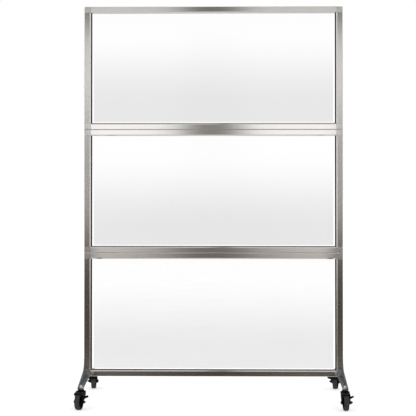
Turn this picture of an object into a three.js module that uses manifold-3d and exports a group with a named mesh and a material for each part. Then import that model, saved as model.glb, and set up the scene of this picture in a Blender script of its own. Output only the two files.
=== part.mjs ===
// Portable divider: three framed clear panels, stacked and clamped on two feet that roll on casters.
// Millimetres, +Z up. The front faces -Y, and the origin is on the floor under the middle.

import * as THREE from "three";
import { mergeVertices } from "three/addons/utils/BufferGeometryUtils.js";
import Module from "manifold-3d";

const wasm = await Module();
wasm.setup();

// Clearances
const seat_gap = 0.3; // between pieces that bear on each other
const running_gap = 0.3; // all round a shaft in its hole
const cut_overrun = 2; // how far a cut runs past the material

// Whole divider
const divider_width = 1280;
const module_height = 610;
const module_names = ["bottom", "middle", "top"];

// Frame profile: the same hollow section in two widths
const frame_depth = 38;
const stile_width = 32;
const rail_height = 30;
const edge_radius = 2.5;
const bevel_width = 5;
const bevel_depth = 4;
const profile_wall = 2.2;
const groove_width = 10;
const groove_depth = 8;

// Corner connectors
const spigot_length = 25;
const spigot_chamfer = 1.5;
const corner_radius = 5;

// Glazing
const panel_thickness = 5;
const gasket_base = 2;
const gasket_side_lip = 5.5; // how far the gasket stands out of the stiles
const gasket_lower_lip = 3; // how far it stands out of the lower rail

// Tie rods, which clamp the three modules down on the feet
const rod_radius = 4;
const rod_top_cover = 8; // metal left above the rod's end
const rod_tail = 3; // thread that shows below the nut
const tie_nut_flats = 13;
const tie_nut_height = 6.5;

// Feet
const foot_length = 560;
const foot_width = 25.5;
const foot_thickness = 5;
const foot_drop = 14.5; // from the seat of the frame down to the caster pads
const foot_seat_margin = 15; // flat stretch beyond the frame, front and back
const pad_length = 42;
const pad_corner_radius = 8;
const fin_thickness = 5;
const fin_height = 88; // above the seat, at the stile
const fin_shoulder_height = 40;
const fin_shoulder_reach = 6;
const fin_blend_reach = 51;
const fin_end_height = 2.5; // above the pad, at the tip

// Casters
const caster_inset = 14; // from each end of a foot back to the stem
const wheel_radius = 38;
const tread_width = 25;
const tread_shoulder = 3;
const tyre_height = 8;
const rim_depth = 2.5;
const web_thickness = 8;
const web_outer_radius = 25;
const hub_radius = 9;
const hub_side_gap = 0.6; // between the hub and each leg
const axle_radius = 4;
const axle_nut_flats = 13;
const axle_nut_height = 6.5;
const axle_head_height = 5.5;
const axle_tail = 4; // thread that shows past the nut
const trail = 28; // from the stem back to the axle
const leg_gap = 2; // between the tread and each leg
const leg_thickness = 4.5;
const leg_boss_radius = 10;
const crown_clearance = 3; // all round the wheel
const hood_thickness = 3;
const hood_depth = 8; // of the band at its sides, towards the axle
const hood_reach = 30; // degrees along the wheel, from its top to the hood's edge
const hood_root = 10; // degrees the other way, inside the crown
const crown_plate_thickness = 6;
const crown_radius = 22;
const crown_back = 24; // behind the stem
const crown_front = 18; // ahead of the stem, at the legs
const crown_boss_radius = 16;
const crown_boss_height = 5.5;
const crown_boss_chamfer = 2;
const stem_radius = 6;
const stem_head_radius = 8.5; // the riveted end inside the crown
const stem_head_height = 3;
const stem_head_recess = 1; // above the crown's underside
const bearing_radius = 15;
const bearing_height = 2.5;
const bearing_chamfer = 0.8;
const thread_radius = 4;
const cap_nut_flats = 14;
const cap_nut_hex_height = 6.5;
const cap_nut_wall = 2; // metal above the thread's end
const cap_nut_dome_radius = 6.4;
const lever_thickness = 2.5;
const lever_eye_radius = 9;
const lever_reach = 27; // from the axle up to the pedal
const lever_arm_width = 13;
const lever_lean = 36; // degrees from upright, towards the stem
const pedal_reach = 18; // outwards from the lever
const pedal_rise = 9;
const pedal_thickness = 4.5;
const pedal_root_height = 8;
const yaw_of_left_pair = -12.5; // degrees about the stem, of the front left caster
const yaw_of_right_pair = 2.5; // degrees about the stem, of the front right caster

// Round shapes
const arc_steps = 3; // on a small edge
const curve_steps = 8; // on a wide arc or curve
const shaft_facets = 12;
const boss_facets = 20;
const wheel_facets = 24;
const dome_steps = 4;
const hexagon = 6;

// Levels and places worked out from the sizes above
const half_width = divider_width / 2;
const half_depth = frame_depth / 2;
const wheel_diameter = 2 * wheel_radius;
const crown_underside = wheel_diameter + crown_clearance;
const crown_plate_top = crown_underside + crown_plate_thickness;
const crown_top = crown_plate_top + crown_boss_height;
const bearing_underside = crown_top + seat_gap;
const pad_underside = bearing_underside + bearing_height + seat_gap;
const pad_top = pad_underside + foot_thickness;
const foot_seat = pad_top + foot_drop;
const frame_bottom = foot_seat + seat_gap;
const module_pitch = module_height + seat_gap;
const frame_top = frame_bottom + module_names.length * module_pitch - seat_gap;
const rod_inset = (stile_width - groove_depth) / 2;
const rod_x = half_width - rod_inset;
const rod_hole_radius = rod_radius + running_gap;
const stem_x = half_width - (foot_width + fin_thickness) / 2;
const stem_y = foot_length / 2 - caster_inset;
const leg_inner = tread_width / 2 + leg_gap;
const leg_outer = leg_inner + leg_thickness;
const lever_inner = leg_outer + seat_gap;
const lever_outer = lever_inner + lever_thickness;
const axle_hole_radius = axle_radius + running_gap;

// Colours
const metal = (color, roughness) => ({ color, roughness, metalness: 1 });
const plastic = (color, roughness) => ({ color, roughness, metalness: 0 });
const aluminium = metal(0xc9c9c9, 0.3);
const cast_alloy = metal(0xbdbdbb, 0.35);
const zinc = metal(0xd6d2c8, 0.25);
const dark_steel = metal(0x50565a, 0.5);
const black_steel = metal(0x1c1c1e, 0.45);
const black_plastic = plastic(0x0c0c0d, 0.4);
const black_rubber = plastic(0x1b1b1c, 0.7);
const grey_rubber = plastic(0x2a2826, 0.8);
const clear_acrylic = { ...plastic(0xe8eceb, 0.05), transparent: true, opacity: 0.35 };

const x_axis = new THREE.Vector3(1, 0, 0);
const y_axis = new THREE.Vector3(0, 1, 0);
const z_axis = new THREE.Vector3(0, 0, 1);
const basis = (...axes) => new THREE.Matrix4().makeBasis(...axes);

// Where an outline's own x and y point, and which way it is extruded
const seen_from_above = basis(x_axis, y_axis, z_axis);
const seen_from_front = basis(x_axis, z_axis, y_axis.clone().negate());
const seen_from_side = basis(y_axis, z_axis, x_axis);
const section_of_rail = basis(z_axis, y_axis, x_axis.clone().negate());
const plug_of_rail = basis(z_axis, x_axis, y_axis);

// A closed solid from a three.js geometry.
function toSolid(geometry) {
  geometry.deleteAttribute("normal");
  geometry.deleteAttribute("uv");
  const merged = mergeVertices(geometry);
  return new wasm.Manifold(
    new wasm.Mesh({
      numProp: 3,
      vertProperties: merged.attributes.position.array,
      triVerts: new Uint32Array(merged.index.array),
    }),
  );
}

// A geometry from a solid.
function toGeometry(solid) {
  const { vertProperties, triVerts } = solid.getMesh();
  const geometry = new THREE.BufferGeometry();
  geometry.setAttribute("position", new THREE.BufferAttribute(vertProperties, 3));
  geometry.setIndex(new THREE.BufferAttribute(triVerts, 1));
  geometry.computeVertexNormals();
  return geometry;
}

// An outline extruded by a length, from a start point.
function prism(outline, length, view, [x, y, z] = [0, 0, 0], steps = arc_steps) {
  const geometry = new THREE.ExtrudeGeometry(outline, {
    depth: length,
    bevelEnabled: false,
    curveSegments: steps,
  });
  return toSolid(geometry.applyMatrix4(view).translate(x, y, z));
}

// A box between two corners.
function block([x0, y0, z0], [x1, y1, z1]) {
  const geometry = new THREE.BoxGeometry(x1 - x0, y1 - y0, z1 - z0);
  return toSolid(geometry.translate((x0 + x1) / 2, (y0 + y1) / 2, (z0 + z1) / 2));
}

// A profile of [radius, height] pairs turned about the vertical axis.
function turned(profile, facets) {
  const points = profile.map(([radius, height]) => new THREE.Vector2(radius, height));
  return new THREE.LatheGeometry(points, facets).rotateX(Math.PI / 2);
}

// A round or many-sided bar along the vertical axis.
function bar(radius, low, high, facets) {
  return turned([[0, low], [radius, low], [radius, high], [0, high]], facets);
}

// The radius to the corners of a hexagon from its width across flats.
const hexagonRadius = (flats) => flats / 2 / Math.cos(Math.PI / hexagon);

// Turns a vertical geometry to lie along +X.
const alongX = (geometry) => geometry.rotateY(Math.PI / 2);

function polygon(points) {
  return new THREE.Shape(points.map(([x, y]) => new THREE.Vector2(x, y)));
}

function named(name, geometry, finish) {
  const material = new THREE.MeshStandardMaterial({ ...finish, flatShading: true });
  const mesh = new THREE.Mesh(geometry, material);
  mesh.name = name;
  return mesh;
}

// The side of a bar's section that faces out of the frame, with its two rounded edges.
// Across the section, x is 0 at the outer edge.
function outerSide(outline) {
  const centre = half_depth - edge_radius;
  outline.lineTo(edge_radius, half_depth);
  outline.absarc(edge_radius, centre, edge_radius, Math.PI / 2, Math.PI);
  outline.lineTo(0, -centre);
  outline.absarc(edge_radius, -centre, edge_radius, Math.PI, 1.5 * Math.PI);
  return outline;
}

// The hollow inside a bar, which passes beside the glazing groove on both sides.
function chamber(width) {
  const behind_groove = width - groove_depth - profile_wall;
  const beside_groove = groove_width / 2 + profile_wall;
  const inside = half_depth - profile_wall;
  const front = [
    [profile_wall, inside],
    [width - bevel_width, inside],
    [width - profile_wall, half_depth - bevel_depth],
    [width - profile_wall, beside_groove],
    [behind_groove, beside_groove],
  ];
  const back = front.map(([x, y]) => [x, -y]).reverse();
  return polygon([...front, ...back]);
}

// The section of a stile or rail: a hollow bar with a glazing groove and bevelled inner edges.
function barSection(width) {
  const outline = new THREE.Shape();
  const half_groove = groove_width / 2;
  outline.moveTo(edge_radius, -half_depth);
  outline.lineTo(width - bevel_width, -half_depth);
  outline.lineTo(width, bevel_depth - half_depth);
  outline.lineTo(width, -half_groove);
  outline.lineTo(width - groove_depth, -half_groove);
  outline.lineTo(width - groove_depth, half_groove);
  outline.lineTo(width, half_groove);
  outline.lineTo(width, half_depth - bevel_depth);
  outline.lineTo(width - bevel_width, half_depth);
  outerSide(outline);
  outline.holes.push(chamber(width));
  return outline;
}

// The section of a corner block: square inside the frame, rounded outside.
function blockSection(width) {
  const outline = new THREE.Shape();
  outline.moveTo(edge_radius, -half_depth);
  outline.lineTo(width, -half_depth);
  outline.lineTo(width, half_depth);
  return outerSide(outline);
}

// A plug that fills a bar's chamber, drawn along the bar from its end.
function spigot(width) {
  const low = profile_wall + seat_gap;
  const high = width - groove_depth - profile_wall - seat_gap;
  return polygon([
    [low, 0],
    [high, 0],
    [high, spigot_length - spigot_chamfer],
    [high - spigot_chamfer, spigot_length],
    [low + spigot_chamfer, spigot_length],
    [low, spigot_length - spigot_chamfer],
  ]);
}

// The block of a corner connector. Only a block at a free corner of the divider has it rounded.
function cornerBlock(capped) {
  const upright = prism(blockSection(stile_width), rail_height, seen_from_above);
  const level = prism(blockSection(rail_height), stile_width, section_of_rail, [stile_width, 0, 0]);
  const square = upright.intersect(level);
  if (!capped) return square;
  return square.intersect(prism(roundedCorner(), frame_depth, seen_from_front, [0, half_depth, 0]));
}

// The corner connector at the lower left of a module, with its outer corner at the origin.
function connector(capped) {
  const spigot_depth = frame_depth - 2 * (profile_wall + seat_gap);
  const half_spigot = spigot_depth / 2;
  const stile_end = [0, half_spigot, rail_height];
  const rail_end = [stile_width, -half_spigot, 0];
  const up_the_stile = prism(spigot(stile_width), spigot_depth, seen_from_front, stile_end);
  const along_the_rail = prism(spigot(rail_height), spigot_depth, plug_of_rail, rail_end);
  const hole_start = capped ? rod_top_cover : -cut_overrun;
  const hole_end = rail_height + spigot_length + cut_overrun;
  const hole = bar(rod_hole_radius, hole_start, hole_end, shaft_facets).translate(rod_inset, 0, 0);
  const groove = block(
    [stile_width - groove_depth, -groove_width / 2, rail_height - groove_depth],
    [stile_width + cut_overrun, groove_width / 2, rail_height + cut_overrun],
  );
  const body = cornerBlock(capped).add(up_the_stile).add(along_the_rail);
  return body.subtract(toSolid(hole)).subtract(groove);
}

// The front view of a block at a free corner of the divider.
function roundedCorner() {
  const outline = new THREE.Shape();
  outline.moveTo(corner_radius, 0);
  outline.lineTo(stile_width, 0);
  outline.lineTo(stile_width, rail_height);
  outline.lineTo(0, rail_height);
  outline.lineTo(0, corner_radius);
  outline.absarc(corner_radius, corner_radius, corner_radius, Math.PI, 1.5 * Math.PI);
  return outline;
}

// One module's panel in its gasket, centred on the origin.
function glazing() {
  const clear_width = divider_width - 2 * stile_width;
  const clear_height = module_height - 2 * rail_height;
  const bite = groove_depth - seat_gap;
  const ring = [clear_width / 2 + bite, (groove_width - 2 * seat_gap) / 2, clear_height / 2 + bite];
  const sight_side = clear_width / 2 - gasket_side_lip;
  const sight_foot = gasket_lower_lip - clear_height / 2;
  const sight = block([-sight_side, -half_depth, sight_foot], [sight_side, half_depth, clear_height / 2]);
  const slot = [ring[0] - gasket_base, panel_thickness / 2 + seat_gap, ring[2] - gasket_base];
  const panel = [slot[0] - seat_gap, panel_thickness / 2, slot[2] - seat_gap];
  const centred = (half) => block(half.map((size) => -size), half);
  return {
    gasket: centred(ring).subtract(sight).subtract(centred(slot)),
    panel: centred(panel),
  };
}

// One framed panel, from its lower edge up.
function framedPanel(level, is_top) {
  const group = new THREE.Group();
  const stile_length = module_height - 2 * (rail_height + seat_gap);
  const rail_length = divider_width - 2 * (stile_width + seat_gap);
  const stile_foot = [-half_width, 0, rail_height + seat_gap];
  const stile = prism(barSection(stile_width), stile_length, seen_from_above, stile_foot);
  const rail = prism(barSection(rail_height), rail_length, section_of_rail, [rail_length / 2, 0, 0]);
  const { gasket, panel } = glazing();
  for (const [side, turn] of [["left", 0], ["right", Math.PI]]) {
    const mesh = named(`stile_${level}_${side}`, toGeometry(stile), aluminium);
    mesh.rotation.z = turn;
    group.add(mesh);
  }
  for (const [edge, height, turn] of [["lower", 0, 0], ["upper", module_height, Math.PI]]) {
    const mesh = named(`rail_${level}_${edge}`, toGeometry(rail), aluminium);
    mesh.rotation.x = turn;
    mesh.position.z = height;
    group.add(mesh);
  }
  const glazed = [
    named(`gasket_${level}`, toGeometry(gasket), grey_rubber),
    named(`clear_panel_${level}`, toGeometry(panel), clear_acrylic),
  ];
  glazed.forEach((mesh) => mesh.position.setZ(module_height / 2));
  group.add(...glazed, ...connectors(level, is_top));
  return group;
}

// The four corner connectors of one module.
function connectors(level, is_top) {
  const corners = [
    { name: "lower_left", x: -half_width, z: 0, turn: [0, 0, 0] },
    { name: "lower_right", x: half_width, z: 0, turn: [0, 0, Math.PI] },
    { name: "upper_left", x: -half_width, z: module_height, turn: [Math.PI, 0, 0] },
    { name: "upper_right", x: half_width, z: module_height, turn: [0, Math.PI, 0] },
  ];
  return corners.map(({ name, x, z, turn }) => {
    const capped = is_top && z > 0;
    const mesh = named(`connector_${level}_${name}`, toGeometry(connector(capped)), cast_alloy);
    mesh.position.set(x, 0, z);
    mesh.rotation.set(...turn);
    return mesh;
  });
}

// A rod through one side's stiles, with the nut that pulls the stack down on its foot.
function tieRod(side) {
  const group = new THREE.Group();
  const nut_top = foot_seat - foot_thickness - seat_gap;
  const nut_low = nut_top - tie_nut_height;
  const rod_end = frame_top - rod_top_cover - seat_gap;
  const rod = bar(rod_radius, nut_low - rod_tail, rod_end, shaft_facets);
  const hexagonal = toSolid(bar(hexagonRadius(tie_nut_flats), nut_low, nut_top, hexagon));
  const thread = bar(rod_hole_radius, nut_low - cut_overrun, nut_top + cut_overrun, shaft_facets);
  group.add(named(`tie_rod_${side}`, rod, zinc));
  group.add(named(`tie_nut_${side}`, toGeometry(hexagonal.subtract(toSolid(thread))), zinc));
  return group;
}

// The line of a foot's plate in side view, from its rear tip to its front tip, at a depth below the top.
function footLine(depth) {
  const seat = half_depth + foot_seat_margin;
  const tip = foot_length / 2;
  const pad_start = tip - pad_length;
  const front = [[tip, pad_top - depth], [pad_start, pad_top - depth], [seat, foot_seat - depth]];
  return [...front, ...front.map(([y, z]) => [-y, z]).reverse()];
}

// The foot's plate seen from above, with its inner corners rounded. Its outer edge is on x = 0.
function footPlan() {
  const outline = new THREE.Shape();
  const tip = foot_length / 2;
  const corner = tip - pad_corner_radius;
  const centre_x = foot_width - pad_corner_radius;
  outline.moveTo(0, -tip);
  outline.lineTo(centre_x, -tip);
  outline.absarc(centre_x, -corner, pad_corner_radius, -Math.PI / 2, 0);
  outline.lineTo(foot_width, corner);
  outline.absarc(centre_x, corner, pad_corner_radius, 0, Math.PI / 2);
  outline.lineTo(0, tip);
  return outline;
}

// The upright fin along the foot's outer edge, from the stile out to one tip, in side view.
function finOutline() {
  const start = half_depth + seat_gap;
  const tip = foot_length / 2;
  const tip_top = pad_top + fin_end_height;
  const shoulder = [start + fin_shoulder_reach, foot_seat + fin_shoulder_height];
  const slope = (tip_top - shoulder[1]) / (tip - shoulder[0]);
  const blend = start + fin_blend_reach;
  const [[, tip_low], [pad_start, pad_low], [seat_end, seat_low]] = footLine(foot_thickness / 2);
  const outline = new THREE.Shape();
  outline.moveTo(start, seat_low);
  outline.lineTo(seat_end, seat_low);
  outline.lineTo(pad_start, pad_low);
  outline.lineTo(tip, tip_low);
  outline.lineTo(tip, tip_top);
  outline.lineTo(blend, shoulder[1] + slope * (blend - shoulder[0]));
  outline.quadraticCurveTo(...shoulder, start, foot_seat + fin_height);
  return outline;
}

// One foot: a bent plate under the stile with two fins, and holes for the tie rod and two stems.
function foot() {
  const plate_line = [...footLine(0), ...footLine(foot_thickness).reverse()];
  const plate = prism(polygon(plate_line), foot_width, seen_from_side);
  const plan = prism(footPlan(), foot_seat, seen_from_above);
  const front_fin = prism(finOutline(), fin_thickness, seen_from_side, [0, 0, 0], curve_steps);
  const rear_fin = front_fin.mirror([0, 1, 0]);
  const holes = [
    [rod_inset, 0, rod_hole_radius],
    [half_width - stem_x, stem_y, thread_radius + running_gap],
    [half_width - stem_x, -stem_y, thread_radius + running_gap],
  ];
  return holes.reduce((solid, [x, y, radius]) => {
    const hole = bar(radius, 0, foot_seat + cut_overrun, shaft_facets).translate(x, y, 0);
    return solid.subtract(toSolid(hole));
  }, plate.intersect(plan).add(front_fin).add(rear_fin));
}

// The two feet: the right one is the left one turned half round.
function feet() {
  return [["left", -1, 0], ["right", 1, Math.PI]].map(([side, sign, turn]) => {
    const mesh = named(`foot_${side}`, toGeometry(foot()), dark_steel);
    mesh.position.x = sign * half_width;
    mesh.rotation.z = turn;
    return mesh;
  });
}

// The wheel with its moulded tyre, about its own axle along X.
function wheel() {
  const half_tread = tread_width / 2;
  const half_hub = half_tread + leg_gap - hub_side_gap;
  const half_web = web_thickness / 2;
  const rim_radius = wheel_radius - tyre_height;
  const side = [
    [hub_radius, half_hub],
    [hub_radius, half_web],
    [web_outer_radius, half_web],
    [rim_radius, half_tread - rim_depth],
    [rim_radius, half_tread],
    [wheel_radius - tread_shoulder, half_tread],
    [wheel_radius, half_tread - tread_shoulder],
  ];
  const bore = [axle_hole_radius, half_hub];
  const half_profile = [bore, ...side];
  const other = half_profile.map(([radius, x]) => [radius, -x]).reverse();
  const flat_to_corner = 1 / Math.cos(Math.PI / wheel_facets);
  const widened = [...other, ...half_profile].map(([radius, x]) => [radius * flat_to_corner, x]);
  const profile = widened.reverse();
  profile.push(profile[0]);
  return alongX(turned(profile, wheel_facets).rotateZ(Math.PI / wheel_facets));
}

// The crown seen from above: round about the stem, narrowing to the legs behind it.
function crownPlan() {
  const outline = new THREE.Shape();
  outline.moveTo(leg_outer, -crown_back);
  outline.absarc(0, 0, crown_radius, 0, Math.PI);
  outline.lineTo(-leg_outer, -crown_back);
  return outline;
}

// The fork in side view, from inside the crown down to the round bosses at the axle.
function forkOutline() {
  const top = crown_underside + crown_plate_thickness / 2;
  const boss_back = -trail - leg_boss_radius;
  const outline = new THREE.Shape();
  outline.moveTo(crown_front, top);
  outline.lineTo(-crown_back, top);
  outline.quadraticCurveTo(boss_back, wheel_radius + trail, boss_back, wheel_radius);
  outline.absarc(-trail, wheel_radius, leg_boss_radius, Math.PI, 2 * Math.PI);
  outline.quadraticCurveTo(crown_front, wheel_radius + leg_boss_radius, crown_front, top);
  return outline;
}

// The hood in side view: a band that bends with the wheel, from the crown to above the tread.
function hoodOutline() {
  const outer = wheel_radius + crown_clearance + hood_thickness;
  const root = THREE.MathUtils.degToRad(90 - hood_root);
  const edge = THREE.MathUtils.degToRad(90 + hood_reach);
  const outline = new THREE.Shape();
  outline.moveTo(-trail + outer * Math.cos(root), wheel_radius + outer * Math.sin(root));
  outline.absarc(-trail, wheel_radius, outer, root, edge);
  outline.absarc(-trail, wheel_radius, outer - hood_depth, edge, root, true);
  return outline;
}

// The fork: crown, swivel boss, two legs and a hood that follows the wheel, bored for the
// stem and the axle.
function fork() {
  const crown_start = [0, 0, crown_underside];
  const plate = prism(crownPlan(), crown_plate_thickness, seen_from_above, crown_start, curve_steps);
  const boss = toSolid(turned([
    [0, crown_underside],
    [crown_boss_radius, crown_underside],
    [crown_boss_radius, crown_top - crown_boss_chamfer],
    [crown_boss_radius - crown_boss_chamfer, crown_top],
    [0, crown_top],
  ], boss_facets));
  const legs_start = [-leg_outer, 0, 0];
  const legs = prism(forkOutline(), 2 * leg_outer, seen_from_side, legs_start, curve_steps);
  const hood = prism(hoodOutline(), 2 * leg_outer, seen_from_side, legs_start, curve_steps);
  const room_radius = wheel_radius + crown_clearance;
  const wheel_room = alongX(bar(room_radius, -leg_inner, leg_inner, wheel_facets));
  const bore_radius = stem_radius + running_gap;
  const bore = bar(bore_radius, crown_underside - cut_overrun, crown_top + cut_overrun, shaft_facets);
  const head_top = crown_underside + stem_head_recess + stem_head_height + seat_gap;
  const head_bore_radius = stem_head_radius + running_gap;
  const head_room = bar(head_bore_radius, wheel_radius, head_top, boss_facets);
  const hole_reach = leg_outer + cut_overrun;
  const axle_hole = alongX(bar(axle_hole_radius, -hole_reach, hole_reach, shaft_facets));
  return plate.add(boss).add(legs).add(hood)
    .subtract(toSolid(wheel_room.translate(0, -trail, wheel_radius)))
    .subtract(toSolid(bore))
    .subtract(toSolid(head_room))
    .subtract(toSolid(axle_hole.translate(0, -trail, wheel_radius)));
}

// The stem: riveted head, shaft, bearing flange and the thread that goes up through the pad.
function stem() {
  const head_low = crown_underside + stem_head_recess;
  const head_top = head_low + stem_head_height;
  const bearing_top = bearing_underside + bearing_height;
  const thread_top = pad_top + seat_gap + cap_nut_hex_height;
  return turned([
    [0, head_low],
    [stem_head_radius, head_low],
    [stem_head_radius, head_top],
    [stem_radius, head_top],
    [stem_radius, bearing_underside],
    [bearing_radius - bearing_chamfer, bearing_underside],
    [bearing_radius, bearing_underside + bearing_chamfer],
    [bearing_radius, bearing_top],
    [thread_radius, bearing_top],
    [thread_radius, thread_top],
    [0, thread_top],
  ], shaft_facets);
}

// The domed nut on top of the pad.
function capNut() {
  const low = pad_top + seat_gap;
  const hex_top = low + cap_nut_hex_height;
  const dome = [[0, low], [cap_nut_dome_radius, low]];
  for (let step = 0; step <= dome_steps; step++) {
    const angle = (step / dome_steps) * (Math.PI / 2);
    const height = hex_top + cap_nut_dome_radius * Math.sin(angle);
    dome.push([step < dome_steps ? cap_nut_dome_radius * Math.cos(angle) : 0, height]);
  }
  const hexagonal = toSolid(bar(hexagonRadius(cap_nut_flats), low, hex_top, hexagon));
  const thread_end = hex_top + cap_nut_wall;
  const thread = toSolid(bar(thread_radius + running_gap, low - cut_overrun, thread_end, shaft_facets));
  return hexagonal.add(toSolid(turned(dome, boss_facets))).subtract(thread);
}

// The axle: a bolt across the fork with its head on the left and its nut outside the lever.
function axle() {
  const nut_start = lever_outer + seat_gap;
  const nut_end = nut_start + axle_nut_height;
  const head_end = -leg_outer - seat_gap;
  const head_start = head_end - axle_head_height;
  const nut_radius = hexagonRadius(axle_nut_flats);
  const shank = alongX(bar(axle_radius, head_start, nut_end + axle_tail, shaft_facets));
  const head = alongX(bar(nut_radius, head_start, head_end, hexagon));
  const nut = alongX(bar(nut_radius, nut_start, nut_end, hexagon));
  return toSolid(shank).add(toSolid(head)).add(toSolid(nut));
}

// The brake lever, upright about the axle: an eye, an arm and a pedal that slants up and out.
function brakeLever() {
  const half_arm = lever_arm_width / 2;
  const arm = new THREE.Shape();
  arm.moveTo(-half_arm, 0);
  arm.lineTo(half_arm, 0);
  arm.lineTo(half_arm, lever_reach);
  arm.lineTo(-half_arm, lever_reach);
  const pedal_low = lever_reach - pedal_root_height;
  const pedal_tip = lever_outer + pedal_reach;
  const pedal = polygon([
    [lever_inner, pedal_low],
    [lever_outer, pedal_low],
    [pedal_tip, pedal_low + pedal_rise],
    [pedal_tip, pedal_low + pedal_rise + pedal_thickness],
    [lever_inner, lever_reach],
  ]);
  const eye = alongX(bar(lever_eye_radius, lever_inner, lever_outer, boss_facets));
  const hole = alongX(bar(axle_hole_radius, leg_outer, lever_outer + cut_overrun, shaft_facets));
  return prism(arm, lever_thickness, seen_from_side, [lever_inner, 0, 0])
    .add(prism(pedal, lever_arm_width, seen_from_front, [0, half_arm, 0]))
    .add(toSolid(eye))
    .subtract(toSolid(hole));
}

// One caster about its stem, trailing towards its own -Y.
function caster(name) {
  const group = new THREE.Group();
  group.add(named(`${name}_cap_nut`, toGeometry(capNut()), zinc));
  group.add(named(`${name}_stem`, stem(), zinc));
  group.add(named(`${name}_fork`, toGeometry(fork()), black_plastic));
  const at_axle = [
    named(`${name}_wheel`, wheel(), black_rubber),
    named(`${name}_axle`, toGeometry(axle()), black_steel),
    named(`${name}_brake_lever`, toGeometry(brakeLever()), black_plastic),
  ];
  at_axle.forEach((mesh) => mesh.position.set(0, -trail, wheel_radius));
  at_axle[2].rotation.x = THREE.MathUtils.degToRad(-lever_lean);
  group.add(...at_axle);
  return group;
}

// Four casters. The rear pair is the front pair turned half round the middle of the divider.
function casters() {
  const places = [
    { name: "caster_front_left", side: -1, end: -1, yaw: yaw_of_left_pair, turn: 0 },
    { name: "caster_front_right", side: 1, end: -1, yaw: yaw_of_right_pair, turn: 0 },
    { name: "caster_rear_right", side: 1, end: 1, yaw: yaw_of_left_pair, turn: Math.PI },
    { name: "caster_rear_left", side: -1, end: 1, yaw: yaw_of_right_pair, turn: Math.PI },
  ];
  return places.map(({ name, side, end, yaw, turn }) => {
    const group = caster(name);
    group.position.set(side * stem_x, end * stem_y, 0);
    group.rotation.z = THREE.MathUtils.degToRad(yaw) + turn;
    return group;
  });
}

const divider = new THREE.Group();
module_names.forEach((level, index) => {
  const module_group = framedPanel(level, index === module_names.length - 1);
  module_group.position.z = frame_bottom + index * module_pitch;
  divider.add(module_group);
});
for (const [side, sign] of [["left", -1], ["right", 1]]) {
  const rod = tieRod(side);
  rod.position.x = sign * rod_x;
  divider.add(rod);
}
divider.add(...feet());
divider.add(...casters());

export default divider;
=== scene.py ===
"""Rolling divider: finishes, casters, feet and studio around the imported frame.

Everything is in metres in the frame's own coordinates: +Z up, the front faces -Y and the
origin is on the floor under the middle of the divider.
"""

import logging
from collections.abc import Callable, Iterable, Sequence
from dataclasses import dataclass, field
from enum import Enum
from functools import reduce
from math import cos, pi, radians, sin, tan

import bmesh
import bpy
from bmesh.types import BMesh
from bpy.types import Material, Mesh, Node, NodeSocket as Socket, NodeTree, Object
from mathutils import Matrix, Vector

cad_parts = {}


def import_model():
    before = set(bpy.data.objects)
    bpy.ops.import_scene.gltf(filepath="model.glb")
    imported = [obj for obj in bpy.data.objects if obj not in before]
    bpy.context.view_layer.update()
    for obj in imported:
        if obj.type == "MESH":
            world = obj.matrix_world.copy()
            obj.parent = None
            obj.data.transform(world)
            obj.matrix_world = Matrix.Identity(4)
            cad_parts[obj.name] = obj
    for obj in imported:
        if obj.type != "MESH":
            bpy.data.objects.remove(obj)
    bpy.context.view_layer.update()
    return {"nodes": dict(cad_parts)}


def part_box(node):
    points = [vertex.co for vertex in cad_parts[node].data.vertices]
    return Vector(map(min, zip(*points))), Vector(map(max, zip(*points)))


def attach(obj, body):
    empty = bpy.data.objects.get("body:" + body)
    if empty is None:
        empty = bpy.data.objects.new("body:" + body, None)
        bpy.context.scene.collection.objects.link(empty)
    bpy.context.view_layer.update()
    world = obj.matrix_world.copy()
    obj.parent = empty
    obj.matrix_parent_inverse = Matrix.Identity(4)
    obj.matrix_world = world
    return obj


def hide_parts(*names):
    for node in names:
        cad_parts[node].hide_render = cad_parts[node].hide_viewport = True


LOG = logging.getLogger("divider")
Point = tuple[float, float]
Ring = Point | Callable[[float], Point]
Colour = tuple[float, float, float]
Nodes = dict[str, Object]
Sockets = dict[str, Socket]
WHITE = (1.0, 1.0, 1.0)
HEX_SIDES = 6
STEM_X, STEM_Y = 0.62475, 0.266
CORNER_SLOPE = tan(radians(30))
ONTO_X = Matrix.Rotation(pi / 2, 4, "Y")


class Slot(Enum):
    """The record's material slots that new pieces take."""

    STEEL = "foot_steel"
    ZINC = "bright_zinc"
    BLACK_STEEL = "black_steel"
    PLASTIC = "caster_plastic"
    TYRE = "tyre_rubber"


class Grain(Enum):
    """The direction in which a bar was drawn or brushed."""

    ALONG_X = (1.0, 0.0, 0.0)
    ALONG_Z = (0.0, 0.0, 1.0)


class Level(Enum):
    """The three framed panels, from the floor up."""

    BOTTOM = "bottom"
    MIDDLE = "middle"
    TOP = "top"


class Side(Enum):
    """Left and right as seen from the front, with the sign of x."""

    LEFT = -1
    RIGHT = 1

    @property
    def label(self) -> str:
        """The side's name as the nodes spell it."""
        return self.name.lower()


def assign(thing: object, **settings: object) -> None:
    """Sets several properties of one thing, in order."""
    for name, value in settings.items():
        setattr(thing, name, value)


def put(name: str, data: bpy.types.ID) -> Object:
    """Makes an object of this data and links it into the scene."""
    made = bpy.data.objects.new(name, data)
    bpy.context.scene.collection.objects.link(made)
    return made


# shader graphs


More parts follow.
